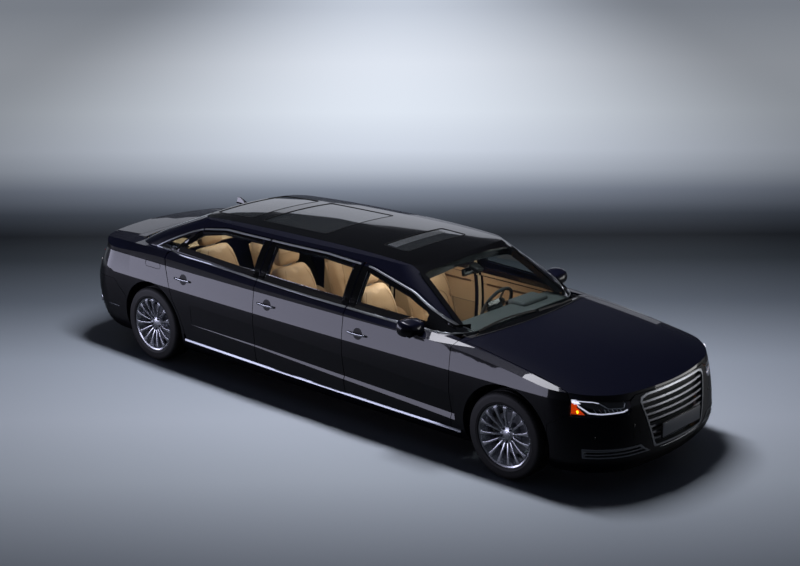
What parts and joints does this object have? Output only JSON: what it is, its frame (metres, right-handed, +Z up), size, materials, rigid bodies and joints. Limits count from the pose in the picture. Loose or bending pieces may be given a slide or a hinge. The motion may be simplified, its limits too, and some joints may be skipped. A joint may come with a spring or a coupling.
{
  "type": "stretch limousine",
  "caption": "Long saloon-based limousine with side-hinged doors in three rows, opening bonnet and boot lid, steered front wheels and a cabin with three rows of seats.",
  "frame": {"origin": "on the floor at mid length, on the centreline", "axes": "+X to the nose, +Y to the car's left side, +Z up"},
  "size_m": [6.3591, 2.101, 1.4685],
  "materials": {
    "paint": "dark navy gloss lacquer",
    "black_gloss": "gloss black",
    "black_plastic": "matt black",
    "chrome": "polished",
    "glass": "tinted",
    "dark_glass": "dark tinted",
    "lamp_glass": "clear lamp cover",
    "red_lens": "red lens",
    "alloy": "bright silver",
    "tyre": "rubber",
    "steel": "plain",
    "iron": "cast",
    "leather": "beige leather",
    "trim_dark": "dark grey",
    "mirror_cap": "dark navy gloss lacquer"
  },
  "bodies": {
    "body": {"front_wings": "paint", "rear_quarters": "paint", "roof_panel": "black_gloss", "roof_rails": "paint", "posts": "black_gloss", "sills": "paint", "front_bumper": "paint", "rear_bumper": "paint", "scuttle": "black_plastic", "headlamps": "lamp_glass", "tail_lamps": "red_lens", "grille": "chrome", "lower_intakes": "chrome", "floor_pan": "steel", "bulkheads": "steel", "wheel_housings": "black_plastic", "front_frame": "steel", "engine": "iron", "front_axle": "iron", "rear_axle": "iron", "exhaust": "steel", "windscreen": "glass", "rear_window": "glass", "quarter_glass": "glass", "roof_glass": "dark_glass", "dashboard": "trim_dark", "centre_console": "trim_dark", "front_seats": "leather", "middle_seats": "leather", "rear_seats": "leather"},
    "front_door_left": {"front_door_left": "paint", "front_door_glass_left": "glass", "mirror_left": "mirror_cap"},
    "front_door_right": {"front_door_right": "paint", "front_door_glass_right": "glass", "mirror_right": "mirror_cap"},
    "middle_door_left": {"middle_door_left": "paint", "middle_door_glass_left": "glass"},
    "middle_door_right": {"middle_door_right": "paint", "middle_door_glass_right": "glass"},
    "rear_door_left": {"rear_door_left": "paint", "rear_door_glass_left": "glass"},
    "rear_door_right": {"rear_door_right": "paint", "rear_door_glass_right": "glass"},
    "bonnet": {"bonnet": "paint"},
    "boot_lid": {"boot_lid": "paint"},
    "knuckle_left": {"knuckle_left": "iron"},
    "knuckle_right": {"knuckle_right": "iron"},
    "front_wheel_left": {"front_rim_left": "alloy", "front_tyre_left": "tyre"},
    "front_wheel_right": {"front_rim_right": "alloy", "front_tyre_right": "tyre"},
    "rear_wheel_left": {"rear_rim_left": "alloy", "rear_tyre_left": "tyre"},
    "rear_wheel_right": {"rear_rim_right": "alloy", "rear_tyre_right": "tyre"},
    "steering_wheel": {"steering_wheel": "leather"}
  },
  "joints": [
    {"name": "front_door_left_hinge", "type": "hinge", "parent": "body", "child": "front_door_left", "pos_m": [1.6, 0.962, 0.7], "axis": [0, 0, -1], "range_deg": [0, 65]},
    {"name": "front_door_right_hinge", "type": "hinge", "parent": "body", "child": "front_door_right", "pos_m": [1.6, -0.962, 0.7], "axis": [0, 0, 1], "range_deg": [0, 65]},
    {"name": "middle_door_left_hinge", "type": "hinge", "parent": "body", "child": "middle_door_left", "pos_m": [0.442, 0.9746, 0.7], "axis": [0, 0, -1], "range_deg": [0, 65]},
    {"name": "middle_door_right_hinge", "type": "hinge", "parent": "body", "child": "middle_door_right", "pos_m": [0.442, -0.9746, 0.7], "axis": [0, 0, 1], "range_deg": [0, 65]},
    {"name": "rear_door_left_hinge", "type": "hinge", "parent": "body", "child": "rear_door_left", "pos_m": [-0.644, 0.974, 0.7], "axis": [0, 0, -1], "range_deg": [0, 65]},
    {"name": "rear_door_right_hinge", "type": "hinge", "parent": "body", "child": "rear_door_right", "pos_m": [-0.644, -0.974, 0.7], "axis": [0, 0, 1], "range_deg": [0, 65]},
    {"name": "bonnet_hinge", "type": "hinge", "parent": "body", "child": "bonnet", "pos_m": [1.7, 0, 0.999], "axis": [0, -1, 0], "range_deg": [0, 55]},
    {"name": "boot_lid_hinge", "type": "hinge", "parent": "body", "child": "boot_lid", "pos_m": [-2.56, 0, 1.098], "axis": [0, 1, 0], "range_deg": [0, 80]},
    {"name": "steer_left", "type": "hinge", "parent": "body", "child": "knuckle_left", "pos_m": [2.19, 0.762, 0.356], "axis": [0, 0, 1], "range_deg": [-32, 32]},
    {"name": "steer_right", "type": "hinge", "parent": "body", "child": "knuckle_right", "pos_m": [2.19, -0.762, 0.356], "axis": [0, 0, 1], "range_deg": [-32, 32]},
    {"name": "front_wheel_left_spin", "type": "hinge", "parent": "knuckle_left", "child": "front_wheel_left", "pos_m": [2.19, 0.822, 0.356], "axis": [0, 1, 0], "continuous": true},
    {"name": "front_wheel_right_spin", "type": "hinge", "parent": "knuckle_right", "child": "front_wheel_right", "pos_m": [2.19, -0.822, 0.356], "axis": [0, 1, 0], "continuous": true},
    {"name": "rear_wheel_left_spin", "type": "hinge", "parent": "body", "child": "rear_wheel_left", "pos_m": [-2.03, 0.822, 0.356], "axis": [0, 1, 0], "continuous": true},
    {"name": "rear_wheel_right_spin", "type": "hinge", "parent": "body", "child": "rear_wheel_right", "pos_m": [-2.03, -0.822, 0.356], "axis": [0, 1, 0], "continuous": true},
    {"name": "steering_wheel_turn", "type": "hinge", "parent": "body", "child": "steering_wheel", "pos_m": [1.06, 0.37, 0.87], "axis": [-0.9063, 0, 0.4226], "range_deg": [-470, 470]}
  ],
  "couplings": [
    {"joint": "steer_right", "follows": "steer_left", "ratio": 1},
    {"joint": "steering_wheel_turn", "follows": "steer_left", "ratio": 14.5}
  ]
}
